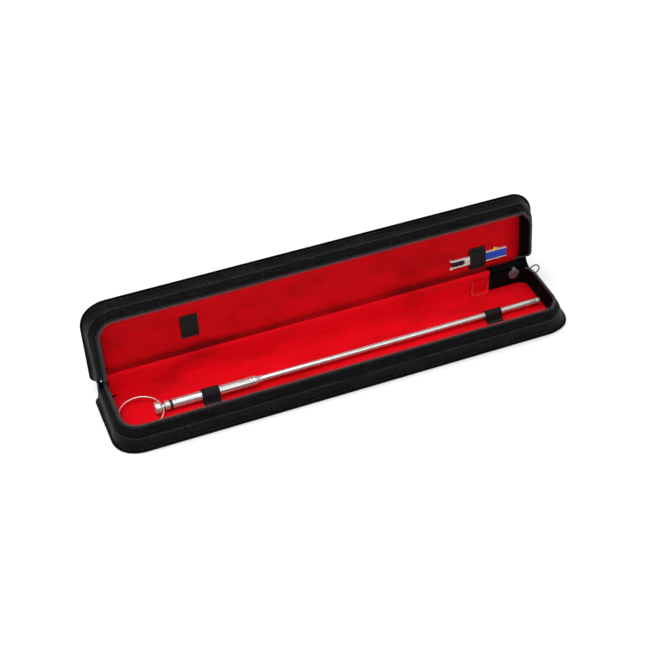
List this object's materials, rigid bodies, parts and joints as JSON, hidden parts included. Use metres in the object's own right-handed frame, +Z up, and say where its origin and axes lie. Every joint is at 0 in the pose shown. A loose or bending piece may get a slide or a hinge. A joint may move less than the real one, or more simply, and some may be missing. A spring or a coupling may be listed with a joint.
{
  "type": "cased steel stick with end ring",
  "caption": "Long zip-round fabric case lying open, red-lined, holding a turned steel stick with an end ring and a small tool in elastic loops.",
  "frame": {"origin": "centre of the base's flat underside", "axes": "+X along the case towards the zip's parked slider, +Y towards the hinged side, +Z up"},
  "size_m": [0.5162, 0.1114, 0.1129],
  "materials": {
    "nylon": "matte black woven nylon",
    "lining": "red brushed velour",
    "elastic": "ribbed black elastic",
    "zip_coil": "black coil with a slight sheen",
    "steel": "brushed, turned",
    "rubber": "satin black",
    "zip_metal": "dark gunmetal",
    "black_plastic": "gloss black",
    "white_plastic": "gloss white",
    "blue_plastic": "gloss blue",
    "yellow_plastic": "gloss yellow"
  },
  "bodies": {
    "base": {"base_shell": "nylon", "base_piping": "nylon", "base_lining": "lining", "back_lining": "lining", "sewn_patch": "lining", "zip_end_patch": "nylon", "base_zip_tape": "nylon", "base_zip_coil": "zip_coil", "base_loop_left": "elastic", "base_loop_right": "elastic", "spine_strip": "nylon", "lining_fold": "lining", "hinge_gusset_left": "nylon", "hinge_gusset_right": "nylon"},
    "lid": {"lid_shell": "nylon", "lid_piping": "nylon", "lid_lining": "lining", "lid_zip_tape": "nylon", "lid_zip_coil": "zip_coil", "lid_loop_left": "elastic", "lid_loop_right": "elastic"},
    "stick": {"pommel": "steel", "end_collar": "steel", "o_ring": "rubber", "handle": "steel", "ferrule": "steel", "collet": "steel", "rod": "steel", "rod_tip": "steel"},
    "pommel_ring": {"pommel_ring": "steel"},
    "tool": {"tool_frame": "white_plastic", "tool_insert": "black_plastic", "tool_eyelet": "steel", "tool_sleeve": "blue_plastic", "tool_edge_upper": "white_plastic", "tool_edge_lower": "white_plastic", "tool_tab": "yellow_plastic"},
    "zip_slider": {"zip_slider": "zip_metal"},
    "zip_pull_tab": {"zip_pull_tab": "nylon"},
    "zip_pull_ring": {"zip_pull_ring": "zip_metal"}
  },
  "joints": [
    {"name": "lid_hinge", "type": "hinge", "parent": "base", "child": "lid", "pos_m": [0, 0.0301, 0.0387], "axis": [1, 0, 0], "range_deg": [0, 98], "deforming": ["spine_strip", "lining_fold", "hinge_gusset_left", "hinge_gusset_right"]},
    {"name": "stick_slide", "type": "slide", "parent": "base", "child": "stick", "axis": [1, 0, 0], "range_m": [-0.003, 0.004]},
    {"name": "end_ring_swing", "type": "hinge", "parent": "stick", "child": "pommel_ring", "pos_m": [-0.1945, -0.004, 0.013], "axis": [0, 1, 0], "range_deg": [-7, 65]},
    {"name": "tool_slide", "type": "slide", "parent": "lid", "child": "tool", "axis": [1, 0, 0], "range_m": [-0.003, 0.0008]},
    {"name": "zip_corner_turn", "type": "hinge", "parent": "base", "child": "zip_slider", "pos_m": [0.225, 0.02, 0.0084], "axis": [0, 0, -1], "range_deg": [0, 80]},
    {"name": "pull_tab_swing", "type": "hinge", "parent": "zip_slider", "child": "zip_pull_tab", "pos_m": [0.225, 0.0491, 0.0084], "axis": [0, 0, 1], "range_deg": [0, 150]},
    {"name": "pull_ring_swing", "type": "hinge", "parent": "zip_pull_tab", "child": "zip_pull_ring", "pos_m": [0.2518, 0.0491, 0.0084], "axis": [0, 0, 1], "range_deg": [0, 90]}
  ]
}
